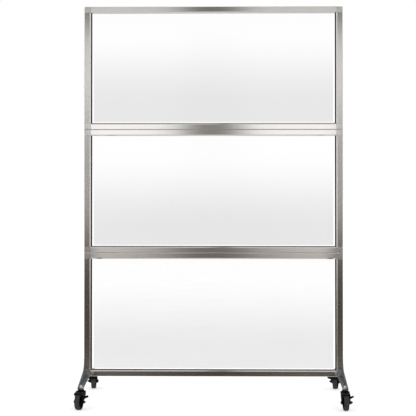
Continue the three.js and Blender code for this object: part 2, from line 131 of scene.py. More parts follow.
class Graph:
    """A thin hand for laying nodes and links in one node tree."""

    def __init__(self, tree: NodeTree) -> None:
        """Keeps the node tree of a material, world or group."""
        self.tree = tree

    def add(self, kind: str, inputs: dict | None = None, **settings: object) -> Node:
        """Adds a node.

        Args:
            kind: the node's type name.
            inputs: socket name or index, and the value or output socket that goes in.
            settings: the node's own properties.

        Returns:
            The new node.
        """
        node = self.tree.nodes.new(kind)
        assign(node, **settings)
        for name, value in (inputs or {}).items():
            self.feed(node, name, value)
        return node

    def feed(self, node: Node, name: str | int, value: object) -> None:
        """Sets an input to a constant, or links an output to it.

        Args:
            node: the node that takes the value.
            name: the input's name or index.
            value: a number, a colour without its alpha, a vector or an output socket.
        """
        socket = node.inputs[name]
        if isinstance(value, Socket):
            self.tree.links.new(value, socket)
        else:
            socket.default_value = (*value, 1.0) if socket.type == "RGBA" else value

    def calc(self, operation: str, *values: object) -> Socket:
        """The result of one Math node, whose inputs are given in order."""
        node = self.add("ShaderNodeMath", dict(enumerate(values)), operation=operation)
        return node.outputs[0]

    def product(self, *values: object) -> Socket:
        """Two or more values multiplied in order."""
        return reduce(lambda one, other: self.calc("MULTIPLY", one, other), values)

    def vector(self, operation: str, *values: object) -> Sockets:
        """The outputs of one Vector Math node, whose inputs are given in order."""
        node = self.add("ShaderNodeVectorMath", dict(enumerate(values)), operation=operation)
        return node.outputs

    def ramp(
        self, value: Socket, low: float, high: float, start: float = 0.0, end: float = 1.0
    ) -> Socket:
        """Maps low to high smoothly onto start to end, and holds it at both ends."""
        inputs = {"Value": value, "From Min": low, "From Max": high, "To Min": start, "To Max": end}
        return self.add("ShaderNodeMapRange", inputs, interpolation_type="SMOOTHSTEP").outputs[0]

    def blend(self, factor: Socket, first: object, second: object) -> Socket:
        """Mixes two colours, by how much of the second one goes in."""
        inputs = {0: factor, 6: first, 7: second}
        return self.add("ShaderNodeMix", inputs, data_type="RGBA").outputs[2]

    def noise(
        self, vector: Socket, scale: object, detail: float = 2.0, roughness: float = 0.5
    ) -> Socket:
        """A 3D noise value at a point, about 0.5 in the middle."""
        inputs = {"Vector": vector, "Scale": scale, "Detail": detail, "Roughness": roughness}
        return self.add("ShaderNodeTexNoise", inputs).outputs[0]

    def here(self) -> Socket:
        """The point being shaded, in the piece's own coordinates."""
        return self.add("ShaderNodeTexCoord").outputs["Object"]

    def normal(self) -> Socket:
        """The direction that the shaded surface faces."""
        return self.add("ShaderNodeNewGeometry").outputs["Normal"]

    def split(self, vector: Socket) -> Sockets:
        """The x, y and z of a vector."""
        return self.add("ShaderNodeSeparateXYZ", {0: vector}).outputs


class Effect:
    """A shader node group that several finishes share."""

    def __init__(
        self, name: str, inputs: dict[str, object], lay: Callable[[Graph, Sockets], Sockets]
    ) -> None:
        """Makes the group.

        Args:
            name: the group's name.
            inputs: each input's name and default, a number or three for a vector.
            lay: lays the nodes, given the graph and the inputs, and returns the outputs.
        """
        self.tree = bpy.data.node_groups.new(name, "ShaderNodeTree")
        for label, value in inputs.items():
            kind = "NodeSocketVector" if isinstance(value, tuple) else "NodeSocketFloat"
            socket = self.tree.interface.new_socket(label, in_out="INPUT", socket_type=kind)
            socket.default_value = value
        graph = Graph(self.tree)
        outputs = lay(graph, graph.add("NodeGroupInput").outputs)
        for label in outputs:
            self.tree.interface.new_socket(label, in_out="OUTPUT", socket_type="NodeSocketFloat")
        graph.add("NodeGroupOutput", outputs)

    def use(self, graph: Graph, **values: object) -> Sockets:
        """Places the effect in a material, with its inputs named in lower case."""
        inputs = {label.capitalize(): value for label, value in values.items()}
        return graph.add("ShaderNodeGroup", inputs, node_tree=self.tree).outputs


class Effects:
    """The shared effects, each built once. Every effect is laid from its graph and inputs."""

    def __init__(self) -> None:
        """Builds all the groups."""
        self.grain = Effect("drawn grain", {"Scale": (1.0, 1.0, 1.0)}, self._drawn_grain)
        self.mottle = Effect("soft mottle", {"Scale": 8.0}, self._mottle)
        self.skin = Effect("pebbled skin", {"Scale": 900.0}, self._moulded_skin)
        self.wear = Effect("edge wear", {"Radius": 0.001, "Amount": 0.5}, self._edge_wear)
        self.dust = Effect("settled dust", {"Amount": 0.3}, self._settled_dust)

    @staticmethod
    def _drawn_grain(graph: Graph, given: Sockets) -> Sockets:
        """Fine lines along a drawn or brushed bar.

        Args:
            graph: the group's graph.
            given: Scale, how much the lines are stretched in each direction.

        Returns:
            Tone and Height.
        """
        stretched = graph.vector("MULTIPLY", graph.here(), given["Scale"])["Vector"]
        fine = graph.noise(stretched, 1.0, detail=3.0, roughness=0.7)
        broad = graph.noise(stretched, 0.17, detail=1.0)
        tone = graph.calc("ADD", graph.product(fine, 0.65), graph.product(broad, 0.35))
        return {"Tone": tone, "Height": fine}

    @staticmethod
    def _mottle(graph: Graph, given: Sockets) -> Sockets:
        """Soft patches, as of handling and uneven coating: a Value from 0 to 1."""
        clouds = graph.noise(graph.here(), given["Scale"], detail=4.0, roughness=0.6)
        return {"Value": graph.ramp(clouds, 0.32, 0.68)}

    @staticmethod
    def _moulded_skin(graph: Graph, given: Sockets) -> Sockets:
        """The fine pebbled surface of moulded plastic, rubber and sprayed coats.

        Args:
            graph: the group's graph.
            given: Scale, how fine the pebbles are.

        Returns:
            Height.
        """
        point, scale = graph.here(), given["Scale"]
        cells = graph.add("ShaderNodeTexVoronoi", {"Vector": point, "Scale": scale})
        grit = graph.noise(point, scale)
        return {"Height": graph.calc("ADD", cells.outputs["Distance"], grit)}

    @staticmethod
    def _edge_wear(graph: Graph, given: Sockets) -> Sockets:
        """Rubbed edges, found from how a rounded normal leaves the true one.

        Args:
            graph: the group's graph.
            given: Radius of the edges, and Amount.

        Returns:
            Mask, in broken patches.
        """
        rounded = graph.add("ShaderNodeBevel", {"Radius": given["Radius"]}, samples=4)
        level = graph.vector("DOT_PRODUCT", rounded.outputs[0], graph.normal())["Value"]
        edge = graph.ramp(level, 0.995, 0.86)
        rubs = graph.ramp(graph.noise(graph.here(), 70.0, detail=4.0, roughness=0.65), 0.42, 0.62)
        return {"Mask": graph.product(edge, rubs, given["Amount"])}

    @staticmethod
    def _settled_dust(graph: Graph, given: Sockets) -> Sockets:
        """Dust on what faces up, thicker in patches.

        Args:
            graph: the group's graph.
            given: Amount, where it lies thickest.

        Returns:
            Mask.
        """
        facing = graph.ramp(graph.split(graph.normal())["Z"], 0.35, 0.95)
        clouds = graph.noise(graph.here(), 55.0, detail=5.0, roughness=0.7)
        patches = graph.ramp(clouds, 0.3, 0.75, 0.35, 1.0)
        return {"Mask": graph.product(facing, patches, given["Amount"])}


# finishes


@dataclass(frozen=True)
class Finish:
    """A surface finish that can make its material."""

    title: str

    def _start(self, **constants: object) -> tuple[Material, Graph, Node]:
        """Makes a material with one Principled shader.

        Args:
            constants: shader sockets, with underscores for spaces.

        Returns:
            The material, its graph and the shader.
        """
        material = bpy.data.materials.new(self.title)
        material.use_nodes = True
        material.node_tree.nodes.clear()
        graph = Graph(material.node_tree)
        shader = graph.add("ShaderNodeBsdfPrincipled")
        for name, value in constants.items():
            graph.feed(shader, name.replace("_", " "), value)
        graph.add("ShaderNodeOutputMaterial", {"Surface": shader.outputs[0]})
        return material, graph, shader

    @staticmethod
    def _bump(graph: Graph, shader: Node, height: Socket, depth: float, strength: float) -> None:
        """Feeds a height, whose depth is in metres, to the shader's normal."""
        inputs = {"Height": height, "Distance": depth, "Strength": strength}
        graph.feed(shader, "Normal", graph.add("ShaderNodeBump", inputs).outputs[0])


@dataclass(frozen=True)
class DrawnAluminium(Finish):
    """Satin aluminium with fine lines along the bar."""

    grain: Grain = Grain.ALONG_Z
    light: Colour = (0.96, 0.952, 0.94)
    dark: Colour = (0.82, 0.812, 0.8)
    roughness: float = 0.17
    line_roughness: float = 0.02
    patch_roughness: float = 0.008
    stretch: float = 1.0
    lines_per_metre: float = 1500.0
    run_per_metre: float = 6.0
    patch_scale: float = 5.0
    line_depth: float = 0.000012
    line_strength: float = 0.25

    def material(self, effects: Effects) -> Material:
        """Builds the material.

        Args:
            effects: the shared effects.

        Returns:
            The new material.
        """
        material, graph, shader = self._start(Metallic=1.0, Anisotropic=self.stretch, IOR=1.5)
        along = self.grain.value
        scale = tuple(self.run_per_metre if a else self.lines_per_metre for a in along)
        lines = effects.grain.use(graph, scale=scale)
        patches = effects.mottle.use(graph, scale=self.patch_scale)["Value"]
        graph.feed(shader, "Base Color", graph.blend(lines["Tone"], self.dark, self.light))
        least = self.roughness - (self.line_roughness + self.patch_roughness) / 2
        rough = graph.calc("MULTIPLY_ADD", lines["Tone"], self.line_roughness, least)
        rough = graph.calc("MULTIPLY_ADD", patches, self.patch_roughness, rough)
        graph.feed(shader, "Roughness", rough)
        across = graph.vector("CROSS_PRODUCT", graph.normal(), along)["Vector"]
        graph.feed(shader, "Tangent", across)
        self._bump(graph, shader, lines["Height"], self.line_depth, self.line_strength)
        return material


@dataclass(frozen=True)
class TintedAcrylic(Finish):
    """Clear sheet with a painted shade: a pale grey that deepens downwards in each opening and
    stops short of the edges.
    """

    clear: Colour = WHITE
    # the deepest grey of the painted shade
    tint: Colour = (0.753, 0.755, 0.755)
    opening_half_width: float = 0.605
    clear_edge: float = 0.0108
    edge_blur: float = 0.002
    first_opening: float = 0.1434
    opening_height: float = 0.55
    pitch: float = 0.6103
    clear_below: float = 0.007
    tinted_above: float = 0.01
    palest_share: float = 0.86
    deepest_share: float = 0.18
    least_tint: float = 0.25

    def material(self, effects: Effects) -> Material:
        """Builds the material, which needs none of the shared effects.

        Args:
            effects: the shared effects, not used here.

        Returns:
            The new material.
        """
        material, graph, shader = self._start(
            Metallic=0.0, Transmission_Weight=1.0, IOR=1.3, Roughness=0.0, Specular_IOR_Level=0.3
        )
        x, _, z = graph.split(graph.here())
        height = graph.calc("MODULO", graph.calc("SUBTRACT", z, self.first_opening), self.pitch)
        share = graph.calc("DIVIDE", height, self.opening_height)
        deep = graph.ramp(share, self.palest_share, self.deepest_share, self.least_tint)
        edge = graph.calc("SUBTRACT", self.opening_half_width, graph.calc("ABSOLUTE", x))
        blur = self.edge_blur
        inside = graph.ramp(edge, self.clear_edge - blur, self.clear_edge + blur)
        above = graph.ramp(height, self.clear_below, self.tinted_above)
        # painted shade: the base colour greys towards the bottom of each opening, and stays clear
        # near its edges
        amount = graph.product(deep, inside, above)
        graph.feed(shader, "Base Color", graph.blend(amount, self.clear, self.tint))
        lamp_ray = graph.add("ShaderNodeLightPath").outputs["Is Shadow Ray"]
        passing = graph.add("ShaderNodeBsdfTransparent").outputs[0]
        mixed = graph.add("ShaderNodeMixShader", {0: lamp_ray, 1: shader.outputs[0], 2: passing})
        graph.feed(graph.tree.nodes["Material Output"], "Surface", mixed.outputs[0])
        return material


@dataclass(frozen=True)
class Rub:
    """What shows along rubbed edges: its colour, how wide, how much, and how much more metallic."""

    colour: Colour
    radius: float
    amount: float
    metallic: float = 0.0


@dataclass(frozen=True)
class Coat(Finish):
    """A patchy finish, which may be rubbed along its edges and dusty on top.

    Its relief is pebbled, or turned where the relief's scale has three parts.
    """

    base: Colour
    patch_scale: float
    roughness: float
    patch_roughness: float
    relief: float | tuple[float, float, float]
    depth: float
    strength: float
    patch: Colour | None = None
    metallic: float = 0.0
    shine: float = 0.5
    lacquer: float = 0.0
    lacquer_roughness: float = 0.03
    rub: Rub | None = None
    dust: Colour = WHITE
    dust_amount: float = 0.0

    def material(self, effects: Effects) -> Material:
        """Builds the material.

        Args:
            effects: the shared effects.

        Returns:
            The new material.
        """
        material, graph, shader = self._start(
            Metallic=self.metallic,
            Specular_IOR_Level=self.shine,
            Coat_Weight=self.lacquer,
            Coat_Roughness=self.lacquer_roughness,
        )
        patches = effects.mottle.use(graph, scale=self.patch_scale)["Value"]
        rough = graph.calc("MULTIPLY_ADD", patches, self.patch_roughness, self.roughness)
        graph.feed(shader, "Roughness", rough)
        colour = graph.blend(patches, self.base, self.patch) if self.patch else self.base
        if self.rub:
            wear = effects.wear.use(graph, radius=self.rub.radius, amount=self.rub.amount)
            colour = graph.blend(wear["Mask"], colour, self.rub.colour)
            if self.rub.metallic:
                bare = graph.calc("MULTIPLY_ADD", wear["Mask"], self.rub.metallic, self.metallic)
                graph.feed(shader, "Metallic", bare)
        if self.dust_amount:
            settled = effects.dust.use(graph, amount=self.dust_amount)["Mask"]
            colour = graph.blend(settled, colour, self.dust)
        graph.feed(shader, "Base Color", colour)
        kind = effects.grain if isinstance(self.relief, tuple) else effects.skin
        height = kind.use(graph, scale=self.relief)["Height"]
        self._bump(graph, shader, height, self.depth, self.strength)
        return material


@dataclass(frozen=True)
class TyreRubber(Finish):
    """Soft black rubber, scuffed grey where it rolls."""

    base: Colour = (0.008, 0.008, 0.0083)
    scuffed: Colour = (0.032, 0.0317, 0.0313)
    tread_start: float = 0.0366
    tread_blur: float = 0.0016
    least_scuff: float = 0.65
    patch_scale: float = 120.0
    roughness: float = 0.55
    scuff_roughness: float = 0.2
    skin_scale: float = 1100.0

    def material(self, effects: Effects) -> Material:
        """Builds the material from the shared effects, about the middle of the wheel."""
        material, graph, shader = self._start(Metallic=0.0, Specular_IOR_Level=0.35)
        reach = graph.vector("LENGTH", graph.here())["Value"]
        tread = graph.ramp(reach, self.tread_start, self.tread_start + self.tread_blur)
        patches = effects.mottle.use(graph, scale=self.patch_scale)["Value"]
        scuffs = graph.calc("MULTIPLY_ADD", patches, 1 - self.least_scuff, self.least_scuff)
        worn = graph.product(tread, scuffs)
        graph.feed(shader, "Base Color", graph.blend(worn, self.base, self.scuffed))
        rough = graph.calc("MULTIPLY_ADD", worn, self.scuff_roughness, self.roughness)
        graph.feed(shader, "Roughness", rough)
        skin = effects.skin.use(graph, scale=self.skin_scale)
        self._bump(graph, shader, skin["Height"], 0.0001, 0.5)
        return material


@dataclass(frozen=True)
class StudioFloor(Finish):
    """Pale paper floor with a faint glow of its own."""

    darker: Colour = (0.65, 0.65, 0.65)
    paler: Colour = (0.67, 0.67, 0.67)
    glow: float = 0.435
    cloud_scale: float = 3.0

    def material(self, effects: Effects) -> Material:
        """Builds the material from the shared effects."""
        material, graph, shader = self._start(
            Roughness=0.9, Specular_IOR_Level=0.0, Emission_Color=WHITE, Emission_Strength=self.glow
        )
        clouds = effects.mottle.use(graph, scale=self.cloud_scale)["Value"]
        graph.feed(shader, "Base Color", graph.blend(clouds, self.darker, self.paler))
        return material


GASKET = Coat(
    "glazing gasket",
    base=(0.016, 0.0145, 0.013), patch=(0.027, 0.0245, 0.022), patch_scale=30.0,
    roughness=0.62, patch_roughness=0.12, shine=0.3,
    relief=1400.0, depth=0.00008, strength=0.4,
)
SLOT_FINISHES = {
    Slot.STEEL: Coat(
        "coated foot steel",
        base=(0.06, 0.07, 0.074), patch=(0.082, 0.097, 0.102), patch_scale=22.0,
        roughness=0.42, patch_roughness=0.1, metallic=0.25, lacquer=0.15, lacquer_roughness=0.35,
        rub=Rub((0.38, 0.38, 0.37), radius=0.0012, amount=0.55, metallic=0.6),
        dust=(0.35, 0.34, 0.32), dust_amount=0.16,
        relief=700.0, depth=0.0001, strength=0.35,
    ),
    Slot.ZINC: Coat(
        "zinc plate",
        base=(0.86, 0.85, 0.82), patch=(0.76, 0.71, 0.61), patch_scale=90.0,
        roughness=0.24, patch_roughness=0.12, metallic=1.0,
        relief=(300.0, 300.0, 4200.0), depth=0.00002, strength=0.3,
    ),
    Slot.BLACK_STEEL: Coat(
        "black oxide steel",
        base=(0.01, 0.01, 0.0105), patch=(0.02, 0.02, 0.0215), patch_scale=140.0,
        roughness=0.32, patch_roughness=0.14, metallic=0.4, shine=0.4,
        rub=Rub((0.2, 0.195, 0.185), radius=0.0006, amount=0.6, metallic=0.5),
        relief=(900.0, 900.0, 4200.0), depth=0.00002, strength=0.3,
    ),
    Slot.PLASTIC: Coat(
        "black moulded plastic",
        base=(0.002, 0.002, 0.0022), patch_scale=60.0,
        roughness=0.5, patch_roughness=0.12, shine=0.1,
        rub=Rub((0.02, 0.02, 0.02), radius=0.0008, amount=0.5),
        dust=(0.08, 0.078, 0.074), dust_amount=0.03,
        relief=1500.0, depth=0.00006, strength=0.4,
    ),
    Slot.TYRE: TyreRubber("tyre rubber"),
}


class Wardrobe:
    """Every finish of the divider, made once."""

    def __init__(self) -> None:
        """Builds the effects and all the materials."""
        effects = Effects()
        self.upright = DrawnAluminium("satin aluminium, upright grain").material(effects)
        self.level = DrawnAluminium(
            "satin aluminium, level grain", Grain.ALONG_X, roughness=0.095
        ).material(effects)
        cast = {"roughness": 0.2, "stretch": 0.0, "lines_per_metre": 900.0, "run_per_metre": 300.0}
        self.cast = DrawnAluminium("satin cast alloy", **cast).material(effects)
        self.acrylic = TintedAcrylic("tinted clear acrylic").material(effects)
        self.gasket = GASKET.material(effects)
        self.by_slot = {slot: coat.material(effects) for slot, coat in SLOT_FINISHES.items()}
        self.floor = StudioFloor("floor paper").material(effects)


# mesh making


def six_sided(flats: float, height: float, corner_drop: float = 0.0) -> Ring:
    """A hexagonal ring whose corners may lie lower or higher than its flats.

    Args:
        flats: the width across the flats.
        height: where the middle of each flat lies along the axis.
        corner_drop: how far a corner lies from there, for each unit it stands further out.

    Returns:
        A function of the angle that gives radius and height.
    """
    sector = 2 * pi / HEX_SIDES

    def at(angle: float) -> Point:
        """The ring's radius and height at an angle."""
        off_flat = (angle % sector) - sector / 2
        radius = flats / 2 / cos(off_flat)
        return radius, height + corner_drop * (radius - flats / 2)

    return at


def stacked(rings: Sequence[Ring], steps: int = 48, looped: bool = False) -> BMesh:
    """Skins a stack of rings about the Z axis.

    Args:
        rings: the rings in order along the skin: a radius and a height, or what gives them.
        steps: how many points each ring has.
        looped: True if the last ring joins the first, as in a bored piece.

    Returns:
        A closed mesh.
    """
    shape = bmesh.new()
    rows = []
    for ring in rings:
        row = []
        for step in range(steps):
            angle = 2 * pi * step / steps
            radius, height = ring(angle) if callable(ring) else ring
            place = (radius * cos(angle), radius * sin(angle), height)
            row.append(shape.verts.new(place))
        rows.append(row)
    pairs = list(zip(rows, rows[1:]))
    if looped:
        pairs.append((rows[-1], rows[0]))
    for low, high in pairs:
        for step in range(steps):
            following = (step + 1) % steps
            shape.faces.new((low[step], low[following], high[following], high[step]))
    bmesh.ops.remove_doubles(shape, verts=shape.verts, dist=1e-7)
    bmesh.ops.dissolve_degenerate(shape, dist=1e-8, edges=shape.edges)
    bmesh.ops.recalc_face_normals(shape, faces=shape.faces)
    return shape


def cuboid(low: Sequence[float], high: Sequence[float]) -> BMesh:
    """A block between two corners, as a filler for a joined shape."""
    shape = bmesh.new()
    size = [b - a for a, b in zip(low, high)]
    middle = [(a + b) / 2 for a, b in zip(low, high)]
    placed = Matrix.Translation(middle) @ Matrix.Diagonal((*size, 1.0))
    bmesh.ops.create_cube(shape, size=1.0, matrix=placed)
    return shape


def finished(
    name: str, parts: Iterable[BMesh], matrix: Matrix | None = None
) -> Mesh:
    """Turns drawn shapes into one mesh and frees them.

    Args:
        name: the mesh's name.
        parts: the shapes.
        matrix: a last placement.

    Returns:
        The mesh.
    """
    mesh = bpy.data.meshes.new(name)
    whole = bmesh.new()
    for part in parts:
        step = bpy.data.meshes.new("step")
        part.to_mesh(step)
        part.free()
        whole.from_mesh(step)
        bpy.data.meshes.remove(step)
    if matrix is not None:
        whole.transform(matrix)
    whole.to_mesh(mesh)
    whole.free()
    return mesh


def smooth(mesh: Mesh, sharp_degrees: float) -> Mesh:
    """Shades a mesh smooth but for its sharp edges, and returns it."""
    mesh.shade_smooth()
    mesh.set_sharp_from_angle(angle=radians(sharp_degrees))
    return mesh


def skinned(mesh: Mesh, voxel: float, passes: int, kept: float) -> Mesh:
    """Fuses overlapping shapes into one moulded body with softly rounded edges.

    Args:
        mesh: the shapes, which may overlap.
        voxel: the remesh's cell size.
        passes: how often it is smoothed.
        kept: the share of faces kept at the end.

    Returns:
        The new mesh.
    """
    body = put("mould", mesh)
    assign(body.modifiers.new("fuse", "REMESH"), mode="VOXEL", voxel_size=voxel)
    assign(body.modifiers.new("round", "SMOOTH"), factor=0.5, iterations=passes)
    assign(body.modifiers.new("thin", "DECIMATE"), ratio=kept)
    graph = bpy.context.evaluated_depsgraph_get()
    made = bpy.data.meshes.new_from_object(body.evaluated_get(graph))
    made.name = mesh.name
    bpy.data.objects.remove(body)
    made.shade_smooth()
    return made


def soften(node: Object, width: float) -> None:
    """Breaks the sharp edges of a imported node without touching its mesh.

    Args:
        node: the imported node's object.
        width: the width of the broken edge.
    """
    normals = node.data.attributes.get("custom_normal")
    if normals is not None:
        node.data.attributes.remove(normals)
    node.data.shade_smooth()
    add = node.modifiers.new
    assign(add("weld", "WELD"), merge_threshold=1e-6)
    assign(add("planes", "DECIMATE"), decimate_type="DISSOLVE", angle_limit=radians(0.5))
    edges = {"width": width, "segments": 2, "limit_method": "ANGLE", "angle_limit": radians(28)}
    assign(add("broken edges", "BEVEL"), **edges)
    assign(add("level faces", "WEIGHTED_NORMAL"), mode="FACE_AREA", weight=100)


def dress(node: Object, material: Material, edge_break: float = 0.0) -> None:
    """Gives every face of an object one material, and breaks its edges.

    Args:
        node: the object.
        material: its material.
        edge_break: the width of the broken edge, 0 to leave the edges alone.
    """
    node.data.materials.clear()
    node.data.materials.append(material)
    if edge_break:
        soften(node, edge_break)


@dataclass
class Piece:
    """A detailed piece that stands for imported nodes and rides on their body."""

    name: str
    mesh: Mesh
    slot: Slot
    body: str
    stands_for: tuple[str, ...] = ()
    place: Matrix = field(default_factory=Matrix)
    origin: Vector = field(default_factory=Vector)

    def make(self, wardrobe: Wardrobe) -> None:
        """Places the piece in the scene and ties it to the frame.

        Args:
            wardrobe: the finishes.
        """
        mesh = self.mesh.copy()
        mesh.materials.append(wardrobe.by_slot[self.slot])
        mesh.transform(Matrix.Translation(-self.origin) @ self.place)
        made = put(self.name, mesh)
        made.matrix_world = Matrix.Translation(self.origin)
        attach(made, self.body)
        if self.stands_for:
            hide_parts(*self.stands_for)
        LOG.info("%s rides on %s", self.name, self.body)


def hex_nut(flats: float, low: float, high: float, bore: float) -> BMesh:
    """A hexagonal nut about Z, its corners turned off at both ends.

    Args:
        flats: the width across the flats.
        low: its lower face.
        high: its upper face.
        bore: the radius of its hole.

    Returns:
        The nut.
    """
    face = flats / 2 * 0.95
    drop = (flats / 2 - face) * CORNER_SLOPE
    lead = 0.0006
    rings = [
        (bore, low + lead),
        (bore + lead, low),
        (face, low),
        six_sided(flats, low + drop, CORNER_SLOPE),
        six_sided(flats, high - drop, -CORNER_SLOPE),
        (face, high),
        (bore + lead, high),
        (bore, high - lead),
    ]
    return stacked(rings, looped=True)


def thread(radius: float, low: float, high: float, pitch: float = 0.00125) -> list[Ring]:
    """The rings of a threaded end, chamfered at the top.

    Args:
        radius: over the crests.
        low: where the thread starts.
        high: the end of the bolt.
        pitch: from crest to crest.

    Returns:
        Rings from low to high.
    """
    rings = []
    root = radius - 0.55 * pitch
    for turn in range(int((high - low) / pitch)):
        start = low + turn * pitch
        rings += [(root, start), (radius, start + 0.4 * pitch), (radius, start + 0.6 * pitch)]
    return rings + [(root, high - 0.3 * pitch), (root - 0.4 * pitch, high), (0.0, high)]


# sub-assemblies


@dataclass
class FramedPanel:
    """One framed clear panel."""

    level: Level
    edge_break: float = 0.0004
    connector_break: float = 0.0005
    gasket_break: float = 0.0003

    def build(self, nodes: Nodes, wardrobe: Wardrobe) -> None:
        """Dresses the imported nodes.

        Args:
            nodes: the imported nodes.
            wardrobe: the finishes.
        """
        level = self.level.value
        for side in Side:
            dress(nodes[f"stile_{level}_{side.label}"], wardrobe.upright, self.edge_break)
        for edge in ("lower", "upper"):
            dress(nodes[f"rail_{level}_{edge}"], wardrobe.level, self.edge_break)
            for side in Side:
                corner = nodes[f"connector_{level}_{edge}_{side.label}"]
                dress(corner, wardrobe.cast, self.connector_break)
        dress(nodes[f"gasket_{level}"], wardrobe.gasket, self.gasket_break)
        dress(nodes[f"clear_panel_{level}"], wardrobe.acrylic)
        LOG.info("%s framed panel dressed", level)


@dataclass
class TieRods:
    """The two rods through the stiles and their nuts under the feet."""

    flats: float = 0.013
    nut_height: float = 0.0065
    bore: float = 0.0042

    def build(self, nodes: Nodes, wardrobe: Wardrobe) -> None:
        """Dresses the rods and makes the nuts.

        Args:
            nodes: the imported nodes.
            wardrobe: the finishes.
        """
        half = self.nut_height / 2
        for side in Side:
            dress(nodes[f"tie_rod_{side.label}"], wardrobe.by_slot[Slot.ZINC])
            node = f"tie_nut_{side.label}"
            low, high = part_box(node)
            nut = hex_nut(self.flats, -half, half, self.bore)
            mesh = smooth(finished(f"clamp nut {side.label}", [nut]), 25)
            name = f"clamp_nut_{side.label}"
            turned = Matrix.Translation((low + high) / 2) @ Matrix.Rotation(pi / 6, 4, "Z")
            Piece(name, mesh, Slot.ZINC, "frame", (node,), turned).make(wardrobe)


@dataclass
class Foot:
    """A bent steel plate with an upright fin at each end, stitched on with short welds."""

    side: Side
    edge_break: float = 0.0007
    half_width: float = 0.64
    fin_thickness: float = 0.005
    seat_height: float = 0.1131
    drop: float = 0.0145
    bend_start: float = 0.034
    bend_end: float = 0.238
    stitch_starts: tuple[float, ...] = (0.045, 0.12, 0.195)
    ripples: int = 12
    ripple_step: float = 0.0024
    bead_radius: float = 0.0022

    def build(self, nodes: Nodes, wardrobe: Wardrobe) -> None:
        """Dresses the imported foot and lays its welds.

        Args:
            nodes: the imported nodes.
            wardrobe: the finishes.
        """
        foot, steel = nodes[f"foot_{self.side.label}"], wardrobe.by_slot[Slot.STEEL]
        dress(foot, steel, self.edge_break)
        welds = skinned(finished("welds", self._stitches()), self.bead_radius / 5, 2, 0.3)
        Piece(f"foot_{self.side.label}_welds", welds, Slot.STEEL, "frame").make(wardrobe)

    def _plate_top(self, y: float) -> float:
        """The height of the plate's upper face at a distance from the middle of the foot."""
        share = (y - self.bend_start) / (self.bend_end - self.bend_start)
        return self.seat_height - self.drop * min(1.0, max(0.0, share))

    def _stitches(self) -> list[BMesh]:
        """Short rippled beads along the inner corner of each fin."""
        ripples = []
        x = self.side.value * (self.half_width - self.fin_thickness)
        for end in (-1, 1):
            for start in self.stitch_starts:
                for index in range(self.ripples):
                    y = start + index * self.ripple_step
                    ripple = bmesh.new()
                    placed = Matrix.Translation((x, end * y, self._plate_top(y)))
                    bmesh.ops.create_icosphere(
                        ripple, subdivisions=2, radius=self.bead_radius, matrix=placed
                    )
                    ripples.append(ripple)
        return ripples


